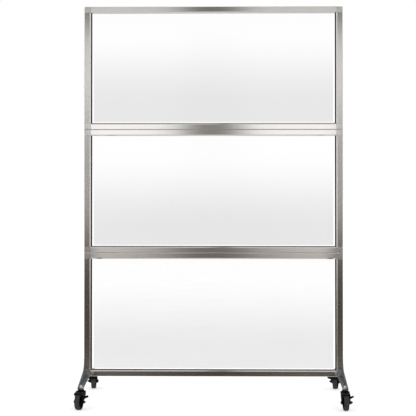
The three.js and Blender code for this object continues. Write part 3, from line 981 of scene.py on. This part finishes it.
@dataclass
class CasterShapes:
    """The meshes that all four casters share, drawn about the stem with the wheel behind at -Y."""

    nodes: Nodes
    model: str = "caster_front_left"
    yaw: float = -12.5
    trail: float = 0.028
    clearance: float = 0.0003
    wheel_radius: float = 0.038
    half_tread: float = 0.0125
    half_hub: float = 0.0139
    rim_inset: float = 0.0012
    leg_outer: float = 0.019
    lever_outer: float = 0.0218
    lever_lean: float = 36.0
    hood_reach: float = 30.0
    bolt_radius: float = 0.004
    pad_top: float = 0.0986
    pad_underside: float = 0.0936
    crown_underside: float = 0.079

    def __post_init__(self) -> None:
        """Draws all the meshes."""
        self.meshes = {
            "fork_shell": self._fork(),
            "brake_pedal": self._lever(),
            "tyre": self._tyre(),
            "wheel_core": self._core(),
            "axle_bolt": self._axle(),
            "swivel_stem": self._stem_bolt(),
            "bearing_cover": self._bearing(),
            "dome_nut": self._dome_nut(),
        }

    def hub(self, x: float = 0.0) -> Matrix:
        """Takes a shape from the origin to the axle, at a distance from the wheel's middle."""
        return Matrix.Translation((x, -self.trail, self.wheel_radius))

    def _local(self, part: str) -> BMesh:
        """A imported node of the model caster, moved so that its stem stands on the origin."""
        turned = Matrix.Rotation(radians(self.yaw), 4, "Z")
        placed = Matrix.Translation((-STEM_X, -STEM_Y, 0.0)) @ turned
        shape = bmesh.new()
        shape.from_mesh(self.nodes[f"{self.model}_{part}"].data)
        shape.transform(placed.inverted())
        bmesh.ops.remove_doubles(shape, verts=shape.verts, dist=1e-6)
        return shape

    def _fork(self) -> Mesh:
        """The fork: rolled hood edge, a ring round the bolt head, ribs down its plain side."""
        side = -self.leg_outer
        inner, outer, height = 0.0086, 0.0099, 0.0013
        rings = [(inner, 0.0), (inner, height), (outer, height), (outer, 0.0)]
        ring = stacked(rings, looped=True)
        ring.transform(self.hub(side + self.clearance) @ Matrix.Rotation(-pi / 2, 4, "Y"))
        half_rib, foot, head = 0.0009, 0.052, 0.0755
        ribs = [
            cuboid((side - 0.0008, y - half_rib, foot), (side + 0.001, y + half_rib, head))
            for y in (-0.021, -0.013, -0.005)
        ]
        half_width, half_roll, inner, outer = self.leg_outer - 0.0004, 0.0011, 0.0398, 0.0438
        roll = cuboid((-half_width, -half_roll, inner), (half_width, half_roll, outer))
        leant = Matrix.Rotation(radians(self.hood_reach - 1.6), 4, "X")
        roll.transform(self.hub() @ leant)
        shell = finished("fork shell", [self._local("fork"), ring, *ribs, roll])
        return skinned(shell, 0.0006, 3, 0.25)

    def _lever(self) -> Mesh:
        """The brake lever with grip ridges across its pedal."""
        placed = self.hub() @ Matrix.Rotation(radians(-self.lever_lean), 4, "X")
        length, near, far = 0.018, 0.027, 0.0325
        half_width, half_length, sunk, proud = 0.0007, 0.0055, 0.001625, 0.0006
        ridges = []
        for share in (0.3, 0.48, 0.66, 0.84):
            x = self.lever_outer + share * length
            z = near + share * (far - near)
            ridge = cuboid(
                (x - half_width, -half_length, z - sunk), (x + half_width, half_length, z + proud)
            )
            ridge.transform(placed)
            ridges.append(ridge)
        pedal = finished("brake pedal", [self._local("brake_lever"), *ridges])
        return skinned(pedal, 0.0004, 4, 0.3)

    def _tyre(self) -> Mesh:
        """The tyre about its own axle on X: a low crown, mould lines and a stepped side wall."""
        edge, top = self.half_tread, self.wheel_radius
        half = [
            (0.0302, 0.0), (0.0302, edge - 0.0012), (0.0308, edge - 0.0004),
            (0.0325, edge - 0.0002), (0.0329, edge - 0.0009), (0.0345, edge - 0.0008),
            (0.036, edge - 0.0013), (0.0371, edge - 0.0025), (0.0377, edge - 0.0042),
            (0.0374, edge - 0.0046), (0.0378, edge - 0.005), (top - 0.0001, edge - 0.0085),
            (top, 0.0),
        ]
        profile = half + [(radius, -x) for radius, x in reversed(half[1:-1])]
        return smooth(finished("tyre", [stacked(profile, 128, looped=True)], ONTO_X), 50)

    def _core(self) -> Mesh:
        """The wheel's moulded core about X: hub, web, rim and ribs."""
        hub, web, rim = self.half_hub, 0.004, self.half_tread - self.rim_inset
        profile = [
            (0.0043, hub), (0.0088, hub), (0.009, hub - 0.0005), (0.0094, web),
            (0.0245, web), (0.0272, rim - 0.001), (0.0276, rim), (0.0304, rim),
        ]
        other = [(radius, -x) for radius, x in reversed(profile)]
        shapes = [stacked(profile + other, 96, looped=True)]
        half_rib, half_depth = 0.0011, 0.0098
        for index in range(HEX_SIDES):
            rib = cuboid((0.0085, -half_rib, -half_depth), (0.0272, half_rib, half_depth))
            rib.transform(Matrix.Rotation(2 * pi * index / HEX_SIDES, 4, "Z"))
            shapes.append(rib)
        return skinned(finished("wheel core", shapes, ONTO_X), 0.0006, 2, 0.3)

    def _axle(self) -> Mesh:
        """The axle bolt: hexagonal head with washer, shank, lock nut and threaded end."""
        under_head = -self.leg_outer - self.clearance
        nut_face = self.lever_outer + self.clearance
        flats, face, washer, shank = 0.013, 0.0061, 0.0082, self.bolt_radius
        drop = (flats / 2 - face) * CORNER_SLOPE
        end = nut_face + 0.0065
        bolt = [
            (0.0, under_head - 0.0055),
            (face - 0.0012, under_head - 0.0055),
            (face, under_head - 0.0053),
            six_sided(flats, under_head - 0.0053 + drop, CORNER_SLOPE),
            six_sided(flats, under_head - 0.0008),
            (0.0075, under_head - 0.0008),
            (washer, under_head - 0.0006),
            (washer, under_head),
            (shank, under_head),
            (shank, end),
            *thread(shank, end, nut_face + 0.0105),
        ]
        collar = [
            (0.0041, nut_face + 0.0045), (0.0061, nut_face + 0.0045), (0.0061, nut_face + 0.0058),
            (0.0054, end), (0.0041, end),
        ]
        nut = hex_nut(flats, nut_face, nut_face + 0.005, 0.0041)
        shapes = [stacked(bolt), nut, stacked(collar, looped=True)]
        return smooth(finished("axle bolt", shapes, self.hub() @ ONTO_X), 28)

    def _stem_bolt(self) -> Mesh:
        """The swivel stem: riveted head, shaft and thread through the pad."""
        head, shaft, top = self.crown_underside + 0.001, 0.006, self.bolt_radius
        shoulder = self.pad_underside - 2 * self.clearance
        rings = [
            (0.0, head), (0.0062, head), (0.0079, head + 0.0006), (0.0085, head + 0.0016),
            (0.0085, head + 0.003), (shaft, head + 0.003), (shaft, shoulder), (top, shoulder),
            *thread(top, shoulder, self.pad_top + 0.0068),
        ]
        return smooth(finished("swivel stem", [stacked(rings)]), 35)

    def _bearing(self) -> Mesh:
        """The bearing's dust cover between the fork and the pad, with a groove round its rim."""
        top = self.pad_underside - self.clearance
        low = top - 0.0025
        rings = [
            (0.0063, low), (0.0141, low), (0.0149, low + 0.0004), (0.015, low + 0.0009),
            (0.0145, low + 0.0011), (0.0145, low + 0.0014), (0.015, low + 0.0016),
            (0.0147, top - 0.0003), (0.0139, top), (0.0063, top),
        ]
        return smooth(finished("bearing cover", [stacked(rings, 64, looped=True)]), 35)

    def _dome_nut(self) -> Mesh:
        """The domed nut on the pad: flange, six flats with turned corners and a round cap."""
        low = self.pad_top + self.clearance
        flats, top, dome, bore, dome_steps = 0.0136, low + 0.0065, 0.0062, 0.0046, 12
        rings = [
            (0.0, low + 0.0082), (bore, low + 0.0078), (bore, low), (0.0079, low),
            (0.0081, low + 0.0004), (0.0077, low + 0.0011),
            six_sided(flats, low + 0.0014),
            six_sided(flats, top - 0.0006, -CORNER_SLOPE),
            (dome + 0.0003, top - 0.0002),
        ]
        for step in range(dome_steps):
            angle = pi / 2 * step / dome_steps
            rings.append((dome * cos(angle), top + dome * sin(angle)))
        rings.append((0.0, top + dome))
        return smooth(finished("dome nut", [stacked(rings)]), 28)


@dataclass
class Caster:
    """One swivel caster with its brake pedal."""

    name: str
    side: Side
    end: int
    yaw: float

    def build(self, shapes: CasterShapes, wardrobe: Wardrobe) -> None:
        """Places the shared shapes at this corner.

        Args:
            shapes: the shared meshes.
            wardrobe: the finishes.
        """
        at_stem = Matrix.Translation((self.side.value * STEM_X, self.end * STEM_Y, 0.0))
        turned = at_stem @ Matrix.Rotation(radians(self.yaw), 4, "Z")
        at_wheel = turned @ shapes.hub()
        swivel, wheel, brake = (f"{self.name}_{part}_body" for part in ("swivel", "wheel", "brake"))
        rows = [
            ("dome_nut", Slot.ZINC, "frame", "cap_nut"),
            ("swivel_stem", Slot.ZINC, "frame", "stem"),
            ("bearing_cover", Slot.BLACK_STEEL, "frame", "stem"),
            ("fork_shell", Slot.PLASTIC, swivel, "fork"),
            ("axle_bolt", Slot.BLACK_STEEL, swivel, "axle"),
            ("tyre", Slot.TYRE, wheel, "wheel"),
            ("wheel_core", Slot.PLASTIC, wheel, "wheel"),
            ("brake_pedal", Slot.PLASTIC, brake, "brake_lever"),
        ]
        for part, slot, body, node in rows:
            rolls = body == wheel
            place = at_wheel if rolls else turned
            origin = at_wheel.translation if rolls else Vector()
            name, stands_for = f"{self.name}_{part}", (f"{self.name}_{node}",)
            Piece(name, shapes.meshes[part], slot, body, stands_for, place, origin).make(wardrobe)


# studio


@dataclass(frozen=True)
class Room:
    """What polished metal mirrors: lit panes either side of the camera in a dim room.

    Angles are in degrees: rise is up from level, aside is away from the gap between the panes.
    """

    gap_centre: float = -0.73
    gap_sharpness: float = 2.8
    gap_depth: float = 0.84
    dark_low: Colour = (0.056, 0.041, 0.032)
    dark_high: Colour = (0.086, 0.078, 0.063)
    wing_low: Colour = (0.14, 0.12, 0.105)
    wing_high: Colour = (0.8, 0.8, 0.79)
    ceiling: Colour = (0.56, 0.55, 0.54)
    floor: Colour = (0.62, 0.6, 0.58)
    floor_strip: Colour = (0.98, 0.94, 0.9)
    pane_low: Colour = (1.55, 1.43, 1.34)
    pane_middle: Colour = (1.02, 1.01, 1.0)
    pane_high: Colour = (1.42, 1.4, 1.38)
    rear_low: Colour = (0.34, 0.335, 0.33)
    rear_high: Colour = (0.85, 0.85, 0.85)
    rear_floor: Colour = (0.6, 0.585, 0.57)

    def colour(self, graph: Graph) -> Socket:
        """Lays the whole room.

        Args:
            graph: the world's graph.

        Returns:
            The room's colour in each direction.
        """
        x, y, z = graph.split(graph.add("ShaderNodeTexCoord").outputs["Generated"])
        flat = graph.calc("SQRT", graph.calc("SUBTRACT", 1.0001, graph.product(z, z)))
        rise = graph.product(graph.calc("ARCTAN2", z, flat), 180 / pi)
        ahead = graph.calc("ABSOLUTE", y)
        swing = graph.product(graph.calc("ARCTAN2", x, ahead), 180 / pi)
        aside = graph.calc("ABSOLUTE", graph.calc("SUBTRACT", swing, self.gap_centre))
        off_gap = graph.calc("DIVIDE", aside, graph.ramp(rise, 1.0, -5.0, 1.25, 5.0))
        power = graph.calc("POWER", off_gap, self.gap_sharpness)
        bell = graph.calc("EXPONENT", graph.product(power, -0.5))
        blend, ramp, product = graph.blend, graph.ramp, graph.product
        dark = blend(ramp(rise, -9.0, 1.0), self.dark_low, self.dark_high)
        wings = blend(ramp(rise, -9.2, -0.5), self.wing_low, self.wing_high)
        walls = blend(ramp(aside, 26.0, 46.0), dark, wings)
        dimmed = graph.calc("MULTIPLY_ADD", bell, -0.7, 1.0)
        covered = blend(product(ramp(rise, 9.5, 13.0), dimmed), walls, self.ceiling)
        floor_edge = ramp(aside, 12.0, 30.0, -24.0, -10.0)
        floored = ramp(graph.calc("SUBTRACT", rise, floor_edge), 0.0, -12.0)
        general = blend(floored, covered, self.floor)
        strip = product(ramp(rise, -9.0, -10.2), ramp(rise, -16.0, -12.0), ramp(aside, 8.0, 16.0))
        general = blend(strip, general, self.floor_strip)
        gap = graph.calc("MULTIPLY_ADD", bell, -self.gap_depth, 1.0)
        sill = ramp(aside, 5.3, 6.7, -3.0, 2.6)
        lower = ramp(graph.calc("SUBTRACT", rise, sill), -2.0, 2.0)
        lit = product(lower, ramp(rise, 8.4, 6.2), product(gap, ramp(aside, 10.0, 7.0)))
        pane = blend(ramp(rise, -3.0, 1.5), self.pane_low, self.pane_middle)
        pane = blend(ramp(rise, 1.5, 5.0), pane, self.pane_high)
        front = blend(lit, general, pane)
        wall = blend(ramp(rise, -3.0, 30.0), self.rear_low, self.rear_high)
        rear = blend(ramp(rise, -4.0, -12.0), wall, self.rear_floor)
        return blend(ramp(y, 0.02, 0.25), front, rear)


@dataclass
class Studio:
    """Camera, soft light and a pale floor."""

    camera_at: tuple[float, float, float] = (0.0669, -5.93, 1.0821)
    pitch: float = 0.0117
    yaw: float = 0.0158
    lens: float = 103.385
    sensor: float = 36.0
    shift: tuple[float, float] = (0.0, -0.1)
    floor_half: float = 60.0
    lamp_aside: float = 3.4
    lamp_height: float = 3.2
    lamp_size: float = 2.4
    lamp_power: float = 45.0
    lamp_aim: tuple[float, float, float] = (0.0, 0.0, 0.9)
    glow_around: float = 0.95
    glow_through: float = 1.06

    def build(self, wardrobe: Wardrobe) -> None:
        """Sets up the whole studio.

        Args:
            wardrobe: the finishes.
        """
        self._camera()
        self._floor(wardrobe)
        for side in Side:
            self._lamp(side)
        self._surroundings()
        bpy.context.scene.view_settings.view_transform = "Standard"
        LOG.info("studio ready")

    @staticmethod
    def _aimed(name: str, data: bpy.types.ID, place: Sequence[float], ahead: Vector) -> Object:
        """Puts a camera or lamp in the scene.

        Args:
            name: its name.
            data: its settings.
            place: where it stands.
            ahead: where it points.

        Returns:
            The new object.
        """
        made = put(name, data)
        aim = ahead.to_track_quat("-Z", "Y")
        assign(made, location=place, rotation_mode="QUATERNION", rotation_quaternion=aim)
        return made

    def _camera(self) -> None:
        """Puts the camera where the photograph was taken from."""
        data = bpy.data.cameras.new("camera")
        assign(data, lens=self.lens, sensor_width=self.sensor)
        data.shift_x, data.shift_y = self.shift
        level = cos(self.pitch)
        ahead = Vector((-sin(self.yaw) * level, cos(self.yaw) * level, sin(self.pitch)))
        bpy.context.scene.camera = self._aimed("camera", data, self.camera_at, ahead)

    def _floor(self, wardrobe: Wardrobe) -> None:
        """Lays the floor, which polished pieces don't mirror."""
        shape = bmesh.new()
        bmesh.ops.create_grid(shape, x_segments=8, y_segments=8, size=self.floor_half)
        floor = put("floor", finished("floor", [shape]))
        dress(floor, wardrobe.floor)
        floor.visible_glossy = False

    def _lamp(self, side: Side) -> None:
        """Hangs a large soft lamp in front, which polished pieces don't mirror."""
        name = f"{side.label} softbox"
        data = bpy.data.lights.new(name, "AREA")
        assign(data, size=self.lamp_size, energy=self.lamp_power)
        place = Vector((side.value * self.lamp_aside, -self.lamp_aside, self.lamp_height))
        self._aimed(name, data, place, Vector(self.lamp_aim) - place).visible_glossy = False

    def _surroundings(self) -> None:
        """White for the eye and through the panels, a shaded room for reflections."""
        world = bpy.data.worlds.new("studio room")
        bpy.context.scene.world = world
        world.use_nodes = True
        world.node_tree.nodes.clear()
        graph = Graph(world.node_tree)
        path = graph.add("ShaderNodeLightPath").outputs
        around = graph.add("ShaderNodeBackground", {"Color": WHITE, "Strength": self.glow_around})
        mixed = around.outputs[0]
        rays = [
            ("Is Glossy Ray", Room().colour(graph), 1.0),
            ("Is Transmission Ray", WHITE, self.glow_through),
            ("Is Camera Ray", WHITE, 1.0),
        ]
        for ray, colour, strength in rays:
            glow = graph.add("ShaderNodeBackground", {"Color": colour, "Strength": strength})
            choice = {0: path[ray], 1: mixed, 2: glow.outputs[0]}
            mixed = graph.add("ShaderNodeMixShader", choice).outputs[0]
        graph.add("ShaderNodeOutputWorld", {"Surface": mixed})


def main() -> None:
    """Builds the divider's looks, sub-assembly by sub-assembly."""
    logging.basicConfig(level=logging.INFO, format="%(name)s: %(message)s")
    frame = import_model()
    nodes = frame["nodes"]
    wardrobe = Wardrobe()
    for level in Level:
        FramedPanel(level).build(nodes, wardrobe)
    TieRods().build(nodes, wardrobe)
    for side in Side:
        Foot(side).build(nodes, wardrobe)
    shapes = CasterShapes(nodes)
    casters = [
        Caster("caster_front_left", Side.LEFT, -1, -12.5),
        Caster("caster_front_right", Side.RIGHT, -1, 2.5),
        Caster("caster_rear_right", Side.RIGHT, 1, 167.5),
        Caster("caster_rear_left", Side.LEFT, 1, 182.5),
    ]
    for caster in casters:
        caster.build(shapes, wardrobe)
    Studio().build(wardrobe)


if __name__ == "__main__":
    main()
